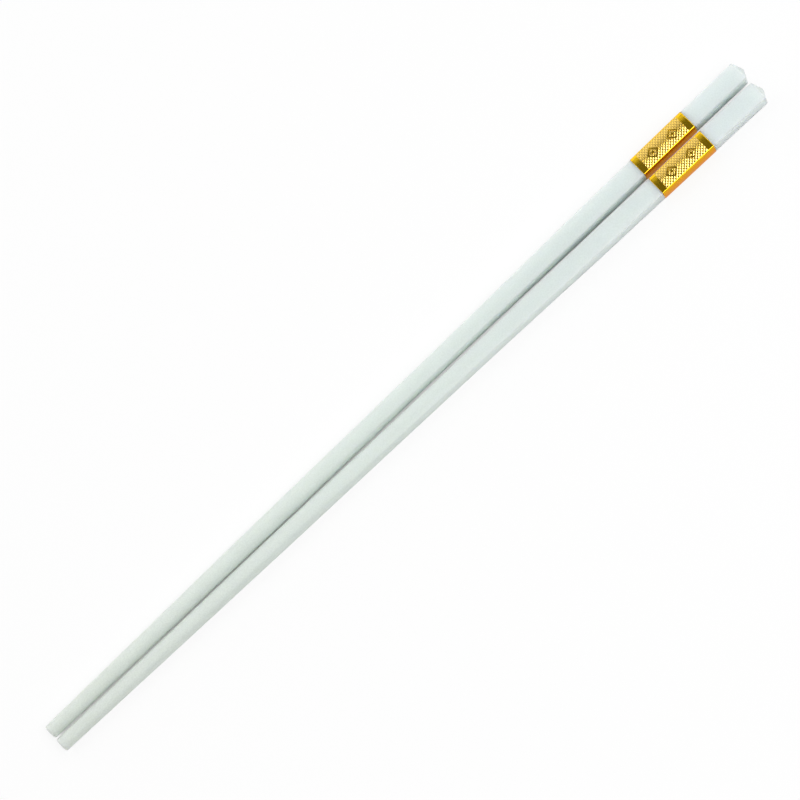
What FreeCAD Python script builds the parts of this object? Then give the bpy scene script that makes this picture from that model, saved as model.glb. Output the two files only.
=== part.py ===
import FreeCAD, Part
import math
import os

# A pair of moulded serving chopsticks, each with a stamped metal sleeve seated near its head.
# Lengths are in millimetres and angles in degrees. A stick is drawn along +X from its tip at
# x = 0, centred on the X axis. The pair then lies side by side on z = 0, heads towards +X,
# with the origin under the middle of the pair.

# Moulded stick: a round tip part, a blend from round to square, and a square handle.
stick_length = 270.0
tip_diameter = 4.35
tip_edge_radius = 0.5
tip_part_length = 83.0
tip_part_diameter = 5.55    # where the round tip part ends
blend_length = 122.0
head_width = 6.42           # across the flats at the shoulder of the head
corner_radius = 0.5         # long edges of the handle
side_crown_radius = 40.0    # the sides of the handle are slightly full

# Head: a low four-sided peak with a soft shoulder and a small flat on top.
peak_height = 1.45
peak_flat = 0.5
shoulder_radius = 0.35

# Sleeve: a stamped square tube, seated in a shallow recess around the handle.
head_length = 21.2          # bare handle and head past the sleeve
sleeve_length = 19.6
sleeve_wall = 0.25
sleeve_proud = 0.07         # how far the sleeve stands above the handle
sleeve_corner_radius = 0.35
bore_corner_radius = 0.15
sleeve_fit = 0.02           # play between the sleeve and its seat

# Stamped field between the two plain end bands, on the upper and the lower side.
band_length = 2.0
field_depth = 0.06
field_margin = 0.4          # from the side of the sleeve to the field
ornament_spacing = 7.5      # between the two ornaments of the upper side
ornament_length = 4.0
ornament_width = 3.6
ornament_line = 0.38
lozenge_length = 1.1        # small lozenge inside each ornament
lozenge_width = 1.0

# How the two sticks lie.
splay_angle = 0.705         # between the two centre lines
closest_gap = 0.28          # where the sticks come nearest to each other

blend_steps = 6
shoulder_steps = 3

# Places along the stick.
peak_start = stick_length - peak_height
peak_slope = math.atan2((head_width - peak_flat) / 2, peak_height)
shoulder_start = peak_start - shoulder_radius * math.tan(peak_slope / 2)
sleeve_end = stick_length - head_length
sleeve_start = sleeve_end - sleeve_length
sleeve_middle = (sleeve_start + sleeve_end) / 2


def width_at(x):
    """Width of the stick at x: a quick taper over the round part, then a slow one."""
    if x < tip_part_length:
        return tip_diameter + (tip_part_diameter - tip_diameter) * x / tip_part_length
    run = (x - tip_part_length) / (shoulder_start - tip_part_length)
    return tip_part_diameter + (head_width - tip_part_diameter) * run


def turned(across, up, quarter):
    """A point of the first side's outline, turned on to one of the four sides."""
    for _ in range(quarter):
        across, up = -up, across
    return across, up


def crowned_square(x, half, corner, crown):
    """Closed outline across X: four crowned sides and four round corners, all tangent."""
    inset = half - crown
    centre = (inset + math.sqrt(2 * (crown - corner) ** 2 - inset ** 2)) / 2
    turn = math.atan2(centre, centre - inset) if crown > half else math.pi / 8
    reach = inset + crown * math.cos(turn)
    rise = crown * math.sin(turn)
    middle = centre + corner * math.sqrt(0.5)
    first_side = [(reach, -rise), (half, 0), (reach, rise), (middle, middle), (rise, reach)]
    edges = []
    for quarter in range(4):
        points = [FreeCAD.Vector(x, *turned(*point, quarter)) for point in first_side]
        edges.append(Part.Arc(*points[:3]).toShape())
        edges.append(Part.Arc(*points[2:]).toShape())
    return Part.Wire(edges)


def section(x, grow, corner):
    """Outline of the stick at x, grown outwards by one distance all round."""
    half = width_at(x) / 2 + grow
    square = min(max((x - tip_part_length) / blend_length, 0), 1)
    corner_here = half + (corner - half) * square
    crown_here = 1 / ((1 - square) / half + square / side_crown_radius)
    return crowned_square(x, half, corner_here, crown_here)


def stick_sections(start, end, grow, corner):
    """Outlines that follow the taper and the blend from start to end."""
    steps = [tip_part_length + blend_length * i / blend_steps for i in range(blend_steps + 1)]
    places = [start] + [x for x in steps if start + 1 < x < end - 1] + [end]
    return [section(x, grow, corner) for x in places]


def head_sections():
    """Outlines of the rounded shoulder and the peak, shrinking towards the axis."""
    half = head_width / 2
    profile = []
    for i in range(1, shoulder_steps + 1):
        angle = peak_slope * i / shoulder_steps
        x = shoulder_start + shoulder_radius * math.sin(angle)
        profile.append((x, half - shoulder_radius * (1 - math.cos(angle))))
    profile.append((stick_length, peak_flat / 2))
    return [crowned_square(x, h, corner_radius * h / half, side_crown_radius * h / half)
            for x, h in profile]


def form(start, end, grow, corner):
    """Solid that follows the stick's outline, used for the sleeve, its bore and its seat."""
    return Part.makeLoft(stick_sections(start, end, grow, corner), True, True)


def seat_cutter():
    """Ring to cut away around the handle, a little longer than the sleeve."""
    start = sleeve_start - sleeve_fit
    end = sleeve_end + sleeve_fit
    outside = form(start, end, corner_radius, corner_radius)
    core = form(start, end, sleeve_proud - sleeve_wall - sleeve_fit, bore_corner_radius)
    return outside.cut(core)


def stick():
    outlines = stick_sections(0, shoulder_start, 0, corner_radius) + head_sections()
    body = Part.makeLoft(outlines, True, True)
    tip_edges = [edge for edge in body.Edges if edge.BoundBox.XMax < 0.001]
    body = body.makeFillet(tip_edge_radius, tip_edges)
    return body.cut(seat_cutter()).Solids[0]


def lozenge(x, length, width, bottom, top):
    """Upright prism on a lozenge that points along the stick."""
    corners = [(x - length / 2, 0), (x, -width / 2), (x + length / 2, 0), (x, width / 2)]
    points = [FreeCAD.Vector(*corner, bottom) for corner in corners]
    face = Part.Face(Part.makePolygon(points + points[:1]))
    return face.extrude(FreeCAD.Vector(0, 0, top - bottom))


def ornament(x, bottom, top):
    """A lozenge ring with a small lozenge inside."""
    line = ornament_line * math.hypot(ornament_length, ornament_width)
    inner_length = ornament_length - 2 * line / ornament_width
    inner_width = ornament_width - 2 * line / ornament_length
    ring = lozenge(x, ornament_length, ornament_width, bottom, top)
    ring = ring.cut(lozenge(x, inner_length, inner_width, bottom, top))
    return ring.fuse(lozenge(x, lozenge_length, lozenge_width, bottom, top))


def field_cutter():
    """What is pressed down around the ornaments above, and all over the field below."""
    half = width_at(sleeve_start) / 2 + sleeve_proud
    length = sleeve_length - 2 * band_length
    width = 2 * (half - field_margin)
    corner = FreeCAD.Vector(sleeve_start + band_length, -width / 2, -2 * half)
    block = Part.makeBox(length, width, 4 * half, corner)
    kept = form(sleeve_start, sleeve_end, sleeve_proud - field_depth, sleeve_corner_radius)
    for side in (-1, 1):
        raised = ornament(sleeve_middle + side * ornament_spacing / 2, 0, 2 * half)
        kept = kept.fuse(raised)
    return block.cut(kept)


def sleeve():
    shell = form(sleeve_start, sleeve_end, sleeve_proud, sleeve_corner_radius)
    bore = form(sleeve_start - 1, sleeve_end + 1, sleeve_proud - sleeve_wall, bore_corner_radius)
    return shell.cut(bore).cut(field_cutter()).Solids[0]


def widest_places():
    """Half width at each place where the stick or its sleeve can touch something."""
    places = [(x, width_at(x) / 2) for x in (tip_edge_radius, tip_part_length, shoulder_start)]
    return places + [(x, width_at(x) / 2 + sleeve_proud) for x in (sleeve_start, sleeve_end)]


def resting_line(balance):
    """Height of the axis over the table at x = 0, and the slope of the stick's underside."""
    lines = []
    for x0, half0 in widest_places():
        for x1, half1 in widest_places():
            if x0 < balance < x1:
                slope = (half1 - half0) / (x1 - x0)
                lines.append((half0 + slope * (balance - x0), slope))
    under_balance, slope = max(lines)
    return under_balance - slope * balance, math.atan(slope)


def side_offset():
    """Distance of a stick's axis at the tip from the middle of the pair."""
    half_splay = math.radians(splay_angle / 2)
    reaches = [half / math.cos(half_splay) - x * math.tan(half_splay)
               for x, half in widest_places()]
    return max(reaches) + closest_gap / 2


def placements(balance):
    """Where the left and the right stick lie, each turned from its own drawing axis."""
    height, slope = resting_line(balance)
    tilt = FreeCAD.Rotation(FreeCAD.Vector(0, -1, 0), math.degrees(slope))
    for name, side in (("left", 1), ("right", -1)):
        turn = FreeCAD.Rotation(FreeCAD.Vector(0, 0, 1), side * splay_angle / 2)
        start = FreeCAD.Vector(-stick_length / 2, side * side_offset(), height * math.cos(slope))
        yield name, FreeCAD.Placement(start, turn.multiply(tilt))


os.makedirs("parts", exist_ok=True)
one_stick = stick()
one_sleeve = sleeve()
for name, placement in placements(one_stick.CenterOfMass.x):
    for piece, shape in (("stick", one_stick), ("sleeve", one_sleeve)):
        laid = shape.copy()
        laid.Placement = placement
        laid.exportStep(f"parts/{name}_{piece}.step")
        print(name, piece, laid.isValid(), len(laid.Solids), round(laid.Volume, 2))
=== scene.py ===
import bmesh
import bpy
import math
from mathutils import Matrix, Vector


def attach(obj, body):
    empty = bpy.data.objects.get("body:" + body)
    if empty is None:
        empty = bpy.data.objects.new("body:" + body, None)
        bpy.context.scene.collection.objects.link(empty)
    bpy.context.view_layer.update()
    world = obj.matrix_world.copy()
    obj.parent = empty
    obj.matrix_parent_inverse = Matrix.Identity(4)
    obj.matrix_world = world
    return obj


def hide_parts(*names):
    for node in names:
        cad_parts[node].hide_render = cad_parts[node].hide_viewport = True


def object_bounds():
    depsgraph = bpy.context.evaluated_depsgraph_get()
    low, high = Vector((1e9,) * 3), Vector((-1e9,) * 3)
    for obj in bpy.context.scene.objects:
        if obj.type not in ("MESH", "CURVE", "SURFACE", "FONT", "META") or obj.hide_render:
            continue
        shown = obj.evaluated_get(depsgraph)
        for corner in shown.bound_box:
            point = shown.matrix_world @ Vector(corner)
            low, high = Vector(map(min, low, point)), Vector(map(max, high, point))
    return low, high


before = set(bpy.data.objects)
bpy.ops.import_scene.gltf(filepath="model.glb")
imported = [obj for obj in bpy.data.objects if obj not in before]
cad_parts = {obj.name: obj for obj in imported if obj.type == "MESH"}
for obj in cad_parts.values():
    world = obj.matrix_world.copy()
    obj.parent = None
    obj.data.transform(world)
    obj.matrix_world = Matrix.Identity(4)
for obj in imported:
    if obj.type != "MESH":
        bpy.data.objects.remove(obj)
cadLow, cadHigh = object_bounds()
mm = 0.001

tolerance = {                   # millimetres, how near counts as the same place
    "cut": 0.0001,
    "ring": 0.001,              # the rings of a rolled rim lie close together
    "place": 0.01,
    "endFlat": 0.05,            # the sticks lie slanted, and so do their end flats
}
levelFace = 0.9                 # a face is level when its normal is at least this upright


def deselectAll():
    for thing in bpy.context.selected_objects:
        thing.select_set(False)


def activate(piece):
    deselectAll()
    piece.select_set(True)
    bpy.context.view_layer.objects.active = piece


def startEdit(mode="VERT"):
    bpy.ops.object.mode_set(mode="EDIT")
    bpy.ops.mesh.select_mode(type=mode)
    bpy.ops.mesh.select_all(action="DESELECT")


def stopEdit():
    bpy.ops.object.mode_set(mode="OBJECT")


def pick(kind, test):
    # selects the faces, edges or verts that pass the test, and nothing else
    bpy.ops.mesh.select_mode(type={"verts": "VERT", "edges": "EDGE", "faces": "FACE"}[kind])
    bpy.ops.mesh.select_all(action="DESELECT")
    mesh = bmesh.from_edit_mesh(bpy.context.object.data)
    for part in getattr(mesh, kind):
        if test(part):
            part.select_set(True)
    mesh.select_flush_mode()
    bmesh.update_edit_mesh(bpy.context.object.data)


def halfWidthPicked():
    mesh = bmesh.from_edit_mesh(bpy.context.object.data)
    return max(abs(vert.co.y) for vert in mesh.verts if vert.select)


def extrudeTo(step, keepSquare, halfWidth):
    # next ring of a form along X: moved, rounded by a share, then brought to its width
    bpy.ops.mesh.extrude_region_move(TRANSFORM_OT_translate={"value": (step, 0, 0)})
    if keepSquare < 1:
        bpy.ops.transform.tosphere(value=1 - keepSquare)
    size = halfWidth / halfWidthPicked()
    bpy.ops.transform.resize(value=(1, size, size))


def faceOutwards():
    # in edit mode: consistent normals, turned round if the closed form came out inside out
    bpy.ops.mesh.select_all(action="SELECT")
    bpy.ops.mesh.normals_make_consistent(inside=False)
    mesh = bmesh.from_edit_mesh(bpy.context.object.data)
    if mesh.calc_volume(signed=True) < 0:
        bpy.ops.mesh.flip_normals()


def applyModifiers(piece):
    activate(piece)
    for modifier in list(piece.modifiers):
        bpy.ops.object.modifier_apply(modifier=modifier.name)


def turnTo(piece, degrees):
    activate(piece)
    piece.rotation_euler = [math.radians(angle) for angle in degrees]
    bpy.ops.object.transform_apply(rotation=True)


def joinTo(piece, others):
    activate(piece)
    for other in others:
        other.select_set(True)
    bpy.ops.object.join()


def copyOf(piece, name):
    activate(piece)
    bpy.ops.object.duplicate(linked=False)
    twin = bpy.context.object
    twin.name = name
    twin.data.name = name
    return twin


def axisOf(node):
    # middle of the stick's two end flats, where it lies in the frame
    corners = [vert.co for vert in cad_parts[node].data.vertices]
    ends = []
    for reach in (min(corner.x for corner in corners), max(corner.x for corner in corners)):
        near = [corner for corner in corners
                if abs(corner.x - reach) < tolerance["endFlat"] * mm]
        ends.append(sum(near, Vector()) / len(near))
    return ends


def layDown(piece, node):
    # from where it is drawn, along X from a tip at the origin, to where the frame's stick lies
    tip, head = axisOf(node)
    along = (head - tip).normalized()
    piece.location = head - along * stick["length"] * mm
    piece.rotation_euler = (0, -math.asin(along.z), math.atan2(along.y, along.x))
    activate(piece)
    bpy.ops.object.transform_apply(location=True, rotation=True, scale=True)


def toLinear(hexColour):
    # sRGB hex to the linear colour that the shader takes
    channels = [int(hexColour[i:i + 2], 16) / 255 for i in (1, 3, 5)]
    linear = [c / 12.92 if c <= 0.04045 else ((c + 0.055) / 1.055) ** 2.4 for c in channels]
    return (*linear, 1)


def addNode(tree, kind, settings=None, links=None, values=None):
    # one node with its settings, its socket values and its incoming links
    node = tree.nodes.new(kind)
    for name, value in (settings or {}).items():
        setattr(node, name, value)
    for name, value in (values or {}).items():
        node.inputs[name].default_value = value
    for name, source in (links or {}).items():
        tree.links.new(source, node.inputs[name])
    return node


def newMaterial(name):
    material = bpy.data.materials.new(name)
    material.use_nodes = True
    tree = material.node_tree
    tree.nodes.clear()
    return material, tree


def giveMaterials(piece, *materials):
    piece.data.materials.clear()
    for material in materials:
        piece.data.materials.append(material)


polymer = {
    "handle": "#E0EAE4",
    "tip": "#DEE6DE",           # a shade warmer and greyer than the handle: painted shade where the light falls off
    "head": "#E2ECEB",
    "handlePlace": 0.45,        # the handle's colour is reached at this share of the length
    "mottle": 0.02,             # how far the colour drifts
    "mottleSize": 9,            # mm
    "mottleDetail": 2.0,
    "fleck": 0.09,              # lighter and darker flecks: glass fibre near the skin, and painted shade of the grainy surface
    "tipFleck": 0.16,           # the same at the tips, where they show most
    "fleckSize": 0.4,           # mm, drawn coarser than the real glass strands, which are too fine to show
    "fleckDetail": 3.0,
    "roughness": 0.42,
    "index": 1.5,               # usual for polymers
    "scatter": 5,               # mm, light travels this far under the skin
    "scatterShares": (1.0, 1.0, 0.9),   # of red, green and blue light
}


def mouldedPolymer():
    # glass-fibre polymer from a finely matted mould: pale, with a soft satin sheen and flecks, and
    # painted shade in its colour
    material, tree = newMaterial("satinMouldedPolymer")
    place = addNode(tree, "ShaderNodeTexCoord")
    along = addNode(tree, "ShaderNodeSeparateXYZ", links={"Vector": place.outputs["Object"]})
    run = addNode(tree, "ShaderNodeMapRange", links={"Value": along.outputs["X"]},
                  values={"From Min": cadLow.x, "From Max": cadHigh.x})
    # painted light: the colour runs from a darker, greener tip to a lighter, bluer head, as the
    # light falls along the pair
    colourWithPaintedFalloff = addNode(tree, "ShaderNodeValToRGB", links={"Fac": run.outputs["Result"]})
    stops = colourWithPaintedFalloff.color_ramp.elements
    stops[0].position, stops[0].color = 0.0, toLinear(polymer["tip"])
    stops[1].position, stops[1].color = 1.0, toLinear(polymer["head"])
    middle = stops.new(polymer["handlePlace"])
    middle.color = toLinear(polymer["handle"])
    mottle = addNode(tree, "ShaderNodeTexNoise", links={"Vector": place.outputs["Object"]},
                     values={"Scale": 1 / (polymer["mottleSize"] * mm),
                             "Detail": polymer["mottleDetail"]})
    level = addNode(tree, "ShaderNodeMapRange", links={"Value": mottle.outputs["Fac"]},
                    values={"To Min": 1 - polymer["mottle"], "To Max": 1 + polymer["mottle"]})

    # the flecks grow weaker from the tip to the middle, and stay so up to the head
    # partly painted shade: the flecks also stand for the light and shade on the grainy surface,
    # most at the tips
    fibresAndGrainShade = addNode(tree, "ShaderNodeTexNoise", links={"Vector": place.outputs["Object"]},
                     values={"Scale": 1 / (polymer["fleckSize"] * mm),
                             "Detail": polymer["fleckDetail"]})
    darkest = addNode(tree, "ShaderNodeMapRange", links={"Value": along.outputs["X"]},
                      values={"From Min": cadLow.x, "From Max": 0,
                              "To Min": 1 - polymer["tipFleck"], "To Max": 1 - polymer["fleck"]})
    lightest = addNode(tree, "ShaderNodeMapRange", links={"Value": along.outputs["X"]},
                       values={"From Min": cadLow.x, "From Max": 0,
                               "To Min": 1 + polymer["tipFleck"], "To Max": 1 + polymer["fleck"]})
    fleck = addNode(tree, "ShaderNodeMapRange",
                    links={"Value": fibresAndGrainShade.outputs["Fac"], "To Min": darkest.outputs["Result"],
                           "To Max": lightest.outputs["Result"]})
    shade = addNode(tree, "ShaderNodeMath", {"operation": "MULTIPLY"},
                    {0: level.outputs["Result"], 1: fleck.outputs["Result"]})
    colour = addNode(tree, "ShaderNodeHueSaturation",
                     links={"Color": colourWithPaintedFalloff.outputs["Color"], "Value": shade.outputs[0]})
    shader = addNode(tree, "ShaderNodeBsdfPrincipled",
                     links={"Base Color": colour.outputs["Color"]},
                     values={"Roughness": polymer["roughness"], "IOR": polymer["index"],
                             "Subsurface Weight": 1.0,
                             "Subsurface Scale": polymer["scatter"] * mm,
                             "Subsurface Radius": polymer["scatterShares"]})
    addNode(tree, "ShaderNodeOutputMaterial", links={"Surface": shader.outputs["BSDF"]})
    return material


gold = {
    "colour": "#EFC226",
    "edge": "#F0BAB5",          # the dyed lacquer deepens to orange at a glancing angle
    "roughness": 0.14,
    "rippleSize": 1.6,          # mm, faint unevenness of the rolled sheet
    "rippleDepth": 0.006,       # mm
    "rippleDetail": 2.0,
    "lacquerIndex": 2.0,        # above real lacquer's 1.5, so that its glints show
    "lacquerRoughness": 0.1,
}


def goldSheet(name, lacquer):
    # gold-dyed bright stamped sheet: mirror-like, deep yellow, orange at its edges; the clear
    # lacquer pooled in the hatch sparkles white
    material, tree = newMaterial(name)
    place = addNode(tree, "ShaderNodeTexCoord")
    ripple = addNode(tree, "ShaderNodeTexNoise", links={"Vector": place.outputs["Object"]},
                     values={"Scale": 1 / (gold["rippleSize"] * mm),
                             "Detail": gold["rippleDetail"]})
    bump = addNode(tree, "ShaderNodeBump", links={"Height": ripple.outputs["Fac"]},
                   values={"Distance": gold["rippleDepth"] * mm, "Strength": 1.0})
    shader = addNode(tree, "ShaderNodeBsdfPrincipled", links={"Normal": bump.outputs["Normal"]},
                     values={"Base Color": toLinear(gold["colour"]), "Metallic": 1.0,
                             "Roughness": gold["roughness"],
                             "Specular Tint": toLinear(gold["edge"]),
                             "Coat Weight": lacquer,
                             "Coat Roughness": gold["lacquerRoughness"],
                             "Coat IOR": gold["lacquerIndex"]})
    addNode(tree, "ShaderNodeOutputMaterial", links={"Surface": shader.outputs["BSDF"]})
    return material


stick = {                       # millimetres, measured from the tip
    "length": 270,
    "tipDiameter": 4.35,
    "tipEdge": 0.5,             # soft edge round the flat end
    "tipEdgeSteps": 6,
    "roundLength": 83,          # the tip part stays round this far
    "roundDiameter": 5.55,
    "blendLength": 122,         # from round to square
    "blendPower": 1.45,         # the corners come out late in the blend
    "headWidth": 6.4,
    "corner": 0.5,
    "cornerSteps": 6,
    "sideCuts": 9,
    "crown": 0.105,             # how far the flat sides are drawn towards a circle
    "peak": 1.45,
    "peakFlat": 0.5,
    "shoulder": 0.35,
    "shoulderSteps": 5,
    "seatStart": 229.18,
    "seatEnd": 248.82,
    "seatDepth": 0.2,
    "seatClear": 1,             # no other ring lies nearer to the seat
    "ringStep": 4,
    "smoothAngle": 35,          # degrees
}


def shoulderSetback():
    # how far the rounding of the shoulder starts from its edge
    slope = math.atan2((stick["headWidth"] - stick["peakFlat"]) / 2, stick["peak"])
    return stick["shoulder"] * math.tan(slope / 2)


def stickWidth(x):
    # quick taper over the round part, slow taper over the handle
    roundLength, roundDiameter = stick["roundLength"], stick["roundDiameter"]
    if x < roundLength:
        return stick["tipDiameter"] + (roundDiameter - stick["tipDiameter"]) * x / roundLength
    shoulderStart = stick["length"] - stick["peak"] - shoulderSetback()
    run = (x - roundLength) / (shoulderStart - roundLength)
    return roundDiameter + (stick["headWidth"] - roundDiameter) * run


def squareness(x):
    share = (x - stick["roundLength"]) / stick["blendLength"]
    return min(max(share, 0), 1) ** stick["blendPower"]


def roundedSquare(name, width, sizes, x):
    # outline across X: a plane with rounded corners and slightly full sides
    bpy.ops.mesh.primitive_plane_add(size=width * mm, location=(x * mm, 0, 0),
                                     rotation=(0, math.pi / 2, 0))
    piece = bpy.context.object
    piece.name = name
    piece.data.name = name
    bpy.ops.object.transform_apply(location=True, rotation=True, scale=True)
    startEdit()
    bpy.ops.mesh.select_all(action="SELECT")
    bpy.ops.mesh.bevel(offset=sizes["corner"] * mm, segments=sizes["cornerSteps"],
                       affect="VERTICES", profile=0.5)
    pick("edges", lambda edge: edge.calc_length() > width / 2 * mm)
    bpy.ops.mesh.subdivide(number_cuts=sizes["sideCuts"])
    bpy.ops.mesh.select_all(action="SELECT")
    bpy.ops.transform.tosphere(value=stick["crown"])
    return piece


def ringsFromHead(start):
    # place and inset of each ring from the head down to the tip, with a step down into the seat
    # of the sleeve and up again
    count = round(start / stick["ringStep"])
    regular = [start * (1 - i / count) for i in range(1, count + 1)]
    low, high, depth = stick["seatStart"], stick["seatEnd"], stick["seatDepth"]
    above = [(x, 0) for x in regular if x >= high + stick["seatClear"]]
    below = [(x, 0) for x in regular if x <= low - stick["seatClear"]]
    return above + [(high, 0), (high, depth), (low, depth), (low, 0)] + below


def buildStick(name, material):
    start = stick["length"] - stick["peak"]
    piece = roundedSquare(name, stick["headWidth"], stick, start)
    size = stick["headWidth"] / 2 * mm / halfWidthPicked()
    bpy.ops.transform.resize(value=(1, size, size))

    # down the handle, over the seat of the sleeve, through the blend and the round tip part
    lastX, lastSquare = start, 1
    for x, inset in ringsFromHead(start):
        square = squareness(x)
        keep = square / lastSquare if lastSquare else 1
        extrudeTo((x - lastX) * mm, keep, (stickWidth(x) / 2 - inset) * mm)
        lastX, lastSquare = x, square

    # tip: soft edge round the flat end
    near = tolerance["place"] * mm
    pick("faces", lambda face: face.calc_center_median().x < near)
    bpy.ops.mesh.bevel(offset=stick["tipEdge"] * mm, segments=stick["tipEdgeSteps"],
                       affect="EDGES", clamp_overlap=False)

    # head: the many-sided cap is drawn out to a low peak, and its shoulder rounded
    pick("faces", lambda face: (face.calc_center_median().x > start * mm - near
                                and len(face.verts) > 4))
    bpy.ops.mesh.extrude_region_move(
        TRANSFORM_OT_translate={"value": (stick["peak"] * mm, 0, 0)})
    size = stick["peakFlat"] / stick["headWidth"]
    bpy.ops.transform.resize(value=(1, size, size))
    pick("edges", lambda edge: all(abs(vert.co.x - start * mm) < near for vert in edge.verts))
    bpy.ops.mesh.bevel(offset=shoulderSetback() * mm, segments=stick["shoulderSteps"],
                       affect="EDGES", clamp_overlap=False)
    faceOutwards()
    stopEdit()
    bpy.ops.object.shade_smooth_by_angle(angle=math.radians(stick["smoothAngle"]))
    giveMaterials(piece, material)
    return piece


sleeve = {                      # millimetres
    "start": 229.2,             # from the stick's tip
    "length": 19.6,
    "proud": 0.07,              # stands this far above the handle
    "wall": 0.25,
    "corner": 0.35,
    "cornerSteps": 5,
    "sideCuts": 9,
    "rim": 0.15,                # radius of the rolled rims
    "rimSteps": 4,
    "band": 2,                  # plain band at each end
    "fieldDepth": 0.14,         # floor of the pressing, under the hatch
    "fieldMargin": 0.4,         # left plain along each side of the field
    "skin": 0.15,               # a face this near to the top of the wall is on its outside
    "smoothAngle": 30,          # degrees
}

hatch = {                       # millimetres
    "pitch": 0.73,              # between neighbouring grooves
    "ridge": 0.03,              # half of the ridge left between two pits
    "pitDepth": 0.115,
    "top": 0.015,               # the ridges lie this far under the bands
    "bottom": 0.17,             # its foot lies this far under the ridges
    "crownRadius": 40,          # full across, like the side of the sleeve
}

ornament = {                    # mm, plain lozenge in a lozenge ring, twice along the upper side
    "spacing": 7.5,
    "length": 4.0,
    "width": 3.6,
    "line": 0.38,
    "innerLength": 1.1,
    "innerWidth": 1.0,
    "foot": 0.06,               # reaches this far down into the hatch
    "cuts": 5,                  # lets it follow the full side
}


def tubeRings(start, end):
    # place and inset of the outer rings: rolled rims, and a ring close behind each that keeps
    # the band flat
    rim, band, steps = sleeve["rim"], sleeve["band"], sleeve["rimSteps"]
    turns = [math.pi / 2 * step / steps for step in range(1, steps + 1)]
    rolled = [(rim * (1 - math.cos(turn)), rim * (1 - math.sin(turn))) for turn in turns]
    first = [(start + x, inset) for x, inset in rolled]
    last = [(end - x, inset) for x, inset in reversed(rolled)]
    flat = [(x, 0) for x in (start + 2 * rim, start + band, end - band, end - 2 * rim)]
    return first + flat + last + [(end, rim)]


def inField(face, side, inner, half):
    centre = face.calc_center_median()
    start = sleeve["start"] + sleeve["band"]
    end = sleeve["start"] + sleeve["length"] - sleeve["band"]
    return (start * mm < centre.x < end * mm and abs(centre.y) < inner
            and side * centre.z > (half - sleeve["skin"]) * mm)


def buildTube(name):
    start, end = sleeve["start"], sleeve["start"] + sleeve["length"]
    half = stickWidth(start) / 2 + sleeve["proud"]
    piece = roundedSquare(name, 2 * half, sleeve, start)
    size = (half - sleeve["rim"]) * mm / halfWidthPicked()
    bpy.ops.transform.resize(value=(1, size, size))
    bpy.ops.mesh.delete(type="ONLY_FACE")
    bpy.ops.mesh.select_all(action="SELECT")
    lastX = start
    for x, inset in tubeRings(start, end):
        extrudeTo((x - lastX) * mm, 1, (stickWidth(x) / 2 + sleeve["proud"] - inset) * mm)
        lastX = x

    # turned in over the end and back along the bore
    bore = sleeve["proud"] - sleeve["wall"]
    extrudeTo(0, 1, (stickWidth(end) / 2 + bore) * mm)
    extrudeTo((start - end) * mm, 1, (stickWidth(start) / 2 + bore) * mm)
    near = tolerance["ring"] * mm
    pick("edges", lambda edge: all(abs(vert.co.x - start * mm) < near for vert in edge.verts))
    bpy.ops.mesh.bridge_edge_loops()

    # the field: its long edges are cut into the upper and lower side, and it is pressed down
    inner = (half - sleeve["fieldMargin"]) * mm
    for side in (-1, 1):
        bpy.ops.mesh.select_all(action="SELECT")
        bpy.ops.mesh.bisect(plane_co=(0, side * inner, 0), plane_no=(0, 1, 0),
                            threshold=tolerance["cut"] * mm)
    for side in (-1, 1):
        pick("faces", lambda face: inField(face, side, inner, half))
        bpy.ops.mesh.extrude_region_move(
            TRANSFORM_OT_translate={"value": (0, 0, -side * sleeve["fieldDepth"] * mm)})
    faceOutwards()
    stopEdit()
    bpy.ops.object.shade_smooth_by_angle(angle=math.radians(sleeve["smoothAngle"]))
    return piece


def addLozenge(length, width, x, line, material):
    # flat lozenge or lozenge ring, raised to the level of the bands
    bpy.ops.mesh.primitive_circle_add(vertices=4, radius=0.5, fill_type="NGON")
    piece = bpy.context.object
    piece.scale = (length * mm, width * mm, 1)
    bpy.ops.object.transform_apply(scale=True)
    startEdit("FACE")
    bpy.ops.mesh.select_all(action="SELECT")
    if line:
        bpy.ops.mesh.inset(thickness=line * mm)
        bpy.ops.mesh.delete(type="FACE")
        bpy.ops.mesh.select_all(action="SELECT")
    bpy.ops.mesh.subdivide(number_cuts=ornament["cuts"])
    bpy.ops.mesh.extrude_region_move(
        TRANSFORM_OT_translate={"value": (0, 0, hatch["top"] * mm)})
    pick("faces", lambda face: face.normal.z < -levelFace)
    bpy.ops.transform.translate(value=(0, 0, -ornament["foot"] * mm))
    faceOutwards()
    stopEdit()
    piece.location = (x * mm, 0, 0)
    bpy.ops.object.transform_apply(location=True)
    giveMaterials(piece, material)
    return piece


def addOrnaments(material):
    # each lozenge ring with its small lozenge
    lozenges = []
    for side in (-1, 1):
        x = side * ornament["spacing"] / 2
        lozenges.append(addLozenge(ornament["length"], ornament["width"], x,
                                   ornament["line"], material))
        lozenges.append(addLozenge(ornament["innerLength"], ornament["innerWidth"], x,
                                   0, material))
    return lozenges


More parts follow.
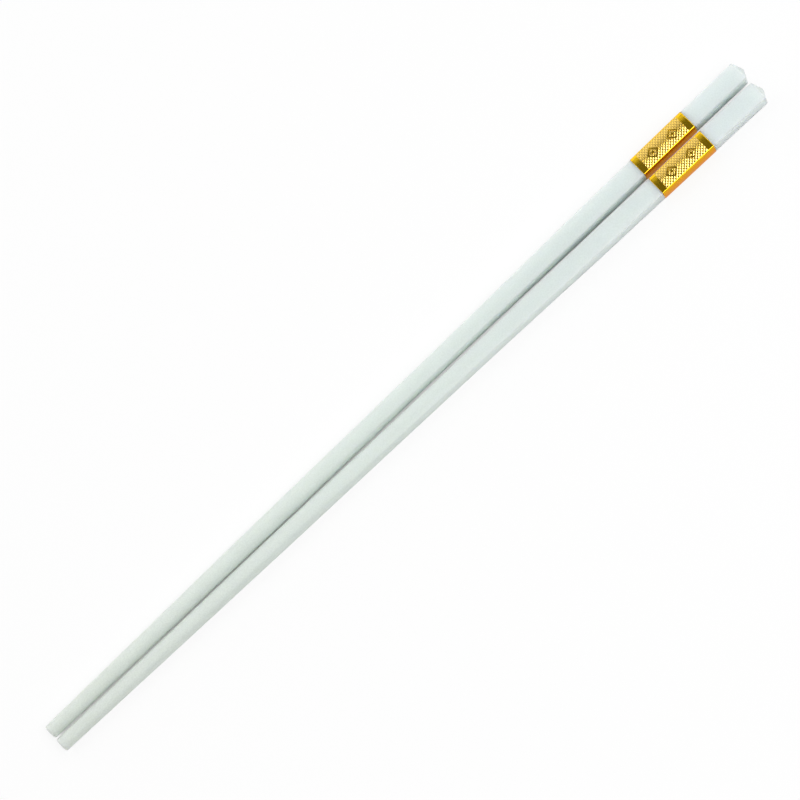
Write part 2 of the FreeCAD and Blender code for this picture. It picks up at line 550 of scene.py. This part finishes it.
def buildHatch(name, ornaments, plain, hatched):
    # crossed rows of pits: a grid turned by 45 degrees, each cell inset and drawn down to a point,
    # trimmed to the field
    length = sleeve["length"] - 2 * sleeve["band"]
    middle = sleeve["start"] + sleeve["length"] / 2
    half = stickWidth(middle) / 2 + sleeve["proud"]
    width = 2 * (half - sleeve["fieldMargin"])
    cells = math.ceil((length + width) / math.sqrt(2) / hatch["pitch"])
    bpy.ops.mesh.primitive_grid_add(x_subdivisions=cells, y_subdivisions=cells,
                                    size=cells * hatch["pitch"] * mm,
                                    rotation=(0, 0, math.radians(45)))
    piece = bpy.context.object
    piece.name = name
    piece.data.name = name
    bpy.ops.object.transform_apply(location=True, rotation=True, scale=True)
    startEdit("FACE")
    bpy.ops.mesh.select_all(action="SELECT")
    bpy.ops.mesh.inset(thickness=hatch["ridge"] * mm, use_individual=True)
    bpy.ops.mesh.poke(offset=-hatch["pitDepth"] * mm)
    for direction, reach in (((1, 0, 0), length / 2 * mm), ((0, 1, 0), width / 2 * mm)):
        for side in (-1, 1):
            bpy.ops.mesh.select_all(action="SELECT")
            bpy.ops.mesh.bisect(plane_co=[side * reach * d for d in direction],
                                plane_no=[side * d for d in direction],
                                clear_outer=True, threshold=tolerance["cut"] * mm)

    # a skirt round the trimmed sheet, level at its foot and closed there
    pick("edges", lambda edge: edge.is_boundary)
    bpy.ops.mesh.extrude_region_move(TRANSFORM_OT_translate={"value": (0, 0, 0)})
    bpy.ops.transform.resize(value=(1, 1, 0), center_override=(0, 0, -hatch["bottom"] * mm))
    bpy.ops.mesh.edge_face_add()
    faceOutwards()
    stopEdit()
    giveMaterials(piece, hatched)
    if ornaments:
        joinTo(piece, addOrnaments(plain))

    # full side: turned so that its width lies along X, bent about Z, and turned back
    turnTo(piece, (-90, -90, 0))
    bend = piece.modifiers.new("crown", "SIMPLE_DEFORM")
    bend.deform_method = "BEND"
    bend.deform_axis = "Z"
    bend.angle = -width / hatch["crownRadius"]
    applyModifiers(piece)
    turnTo(piece, (90, 0, 90))
    piece.location = (middle * mm, 0, (half - hatch["top"]) * mm)
    if not ornaments:           # the lower field
        piece.location.z *= -1
        piece.rotation_euler.x = math.pi
    bpy.ops.object.transform_apply(location=True, rotation=True)
    return piece


def buildSleeve(name, plain, hatched):
    piece = buildTube(name)
    giveMaterials(piece, plain)
    joinTo(piece, [buildHatch(name + "Upper", True, plain, hatched),
                   buildHatch(name + "Lower", False, plain, hatched)])
    return piece


print("materials")
polymerMaterial = mouldedPolymer()
goldMaterial = goldSheet("goldLacqueredSheet", 0.0)
hatchMaterial = goldSheet("goldLacqueredHatch", 1.0)

print("sticks")
leftStick = buildStick("leftStickMoulding", polymerMaterial)
rightStick = copyOf(leftStick, "rightStickMoulding")
for piece, node in ((leftStick, "left_stick"), (rightStick, "right_stick")):
    layDown(piece, node)
    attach(piece, "root")
    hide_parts(node)

print("sleeves")
leftSleeve = buildSleeve("leftSleeveStamping", goldMaterial, hatchMaterial)
rightSleeve = copyOf(leftSleeve, "rightSleeveStamping")
for piece, node in ((leftSleeve, "left"), (rightSleeve, "right")):
    layDown(piece, node + "_stick")
    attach(piece, "root")
    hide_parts(node + "_sleeve")


studio = {
    "floorSize": 30,            # metres
    "floorColour": "#FFFFFF",
    "floorGlow": 0.85,          # share of plain white that the camera sees on the floor
    "mirrorGlow": 0.5,          # share of plain white in reflections
    "shadeReach": 4,            # mm, narrow gaps under and between the sticks are shaded
    "shadeSamples": 8,
    "shadeFull": 0.03,          # the floor's glow is gone at this openness of a gap
    "shadeNone": 0.28,          # and whole at this one
    "worldColour": "#FFFFFF",
    "worldStrength": 0.15,
    "lamps": {                  # place and size in metres, and watts
        # the yellow left edge of the sleeves, then the pit walls towards +Y and towards -X and -Y
        "edgeSoftbox": ((0.166, 0.739, 1.188), (0.55, 0.55), 1.05),
        "farSoftbox": ((0.246, 1.09, 0.878), (1.45, 0.44), 1.7),
        "hatchSoftbox": ((-0.31, -0.13, 1.07), (0.21, 0.26), 0.09),
        # plain light from beyond the heads, from beyond the tips, and most of it from the right
        "headWing": ((0.95, 0.3, 1.0), (0.9, 1.3), 4.9),
        "tipWing": ((-0.95, 0.7, 1.0), (0.9, 1.3), 5.4),
        "mainSoftbox": ((0.2, -0.5, 0.93), (0.75, 0.6), 5.3),
        # the glints in the hatch, then the left sides of the sticks
        "sparkleLamp": ((0.689, -0.315, 0.965), (0.16, 0.16), 0.62),
        "sideSoftbox": ((-0.2, 1.3, 0.4), (1.0, 0.5), 3.0),
    },
    "cameraDistance": 1200,     # mm
    "cameraTilt": 14.8,         # degrees from straight down, towards the right stick's side
    "cameraRoll": 43.36,        # degrees, the pair runs up to the right
    "lens": 192,                # mm
    "aimRight": -1.195,         # mm, the middle of the pair sits a little off the frame's middle
    "aimUp": 2.56,              # mm
}


def floorMaterial():
    # pale seamless paper: plain white to the eye, soft shadow kept
    material, tree = newMaterial("paleStudioPaper")
    path = addNode(tree, "ShaderNodeLightPath")
    openness = addNode(tree, "ShaderNodeAmbientOcclusion", {"samples": studio["shadeSamples"]},
                       values={"Distance": studio["shadeReach"] * mm})
    fade = addNode(tree, "ShaderNodeMapRange", links={"Value": openness.outputs["AO"]},
                   values={"From Min": studio["shadeFull"], "From Max": studio["shadeNone"]})
    direct = addNode(tree, "ShaderNodeMath", {"operation": "MULTIPLY"},
                     {0: path.outputs["Is Camera Ray"]}, {1: studio["floorGlow"]})
    reflected = addNode(tree, "ShaderNodeMath", {"operation": "MAXIMUM"},
                        {0: path.outputs["Is Glossy Ray"], 1: path.outputs["Is Transmission Ray"]})
    mirrored = addNode(tree, "ShaderNodeMath", {"operation": "MULTIPLY"},
                       {0: reflected.outputs[0]}, {1: studio["mirrorGlow"]})
    glow = addNode(tree, "ShaderNodeMath", {"operation": "MAXIMUM"},
                   {0: direct.outputs[0], 1: mirrored.outputs[0]})
    share = addNode(tree, "ShaderNodeMath", {"operation": "MULTIPLY"},
                    {0: glow.outputs[0], 1: fade.outputs["Result"]})
    paper = addNode(tree, "ShaderNodeBsdfDiffuse",
                    values={"Color": toLinear(studio["floorColour"])})
    white = addNode(tree, "ShaderNodeEmission", values={"Color": (1, 1, 1, 1), "Strength": 1.0})
    mix = addNode(tree, "ShaderNodeMixShader",
                  links={0: share.outputs[0], 1: paper.outputs[0], 2: white.outputs[0]})
    addNode(tree, "ShaderNodeOutputMaterial", links={"Surface": mix.outputs[0]})
    return material


def addSoftbox(name, place, size, watts):
    bpy.ops.object.light_add(type="AREA", location=place)
    lamp = bpy.context.object
    lamp.name = name
    lamp.data.shape = "RECTANGLE"
    lamp.data.size, lamp.data.size_y = size
    lamp.data.energy = watts
    lamp.rotation_euler = (-Vector(place)).to_track_quat("-Z", "Y").to_euler()


def buildStudio():
    bpy.ops.mesh.primitive_plane_add(size=studio["floorSize"])
    floor = bpy.context.object
    floor.name = "studioFloor"
    giveMaterials(floor, floorMaterial())
    world = bpy.data.worlds.new("studioWorld")
    bpy.context.scene.world = world
    world.use_nodes = True
    background = world.node_tree.nodes["Background"]
    background.inputs["Color"].default_value = toLinear(studio["worldColour"])
    background.inputs["Strength"].default_value = studio["worldStrength"]
    for name, (place, size, watts) in studio["lamps"].items():
        addSoftbox(name, place, size, watts)


def addCamera():
    middle = (cadLow + cadHigh) / 2
    tilt, roll = math.radians(studio["cameraTilt"]), math.radians(studio["cameraRoll"])
    back = Vector((0, -math.sin(tilt), math.cos(tilt)))     # from the pair to the camera
    alongPair = Vector((1, 0, 0))
    acrossPair = back.cross(alongPair)
    right = alongPair * math.cos(roll) - acrossPair * math.sin(roll)
    up = alongPair * math.sin(roll) + acrossPair * math.cos(roll)
    aim = middle + (right * studio["aimRight"] + up * studio["aimUp"]) * mm
    bpy.ops.object.camera_add(location=aim + back * studio["cameraDistance"] * mm)
    camera = bpy.context.object
    camera.name = "studioCamera"
    turn = Matrix((right, up, back)).transposed().to_4x4()
    camera.matrix_world = Matrix.Translation(camera.location) @ turn
    camera.data.lens = studio["lens"]
    bpy.context.scene.camera = camera


print("studio")
deselectAll()
buildStudio()
addCamera()
bpy.context.scene.view_settings.view_transform = "Standard"
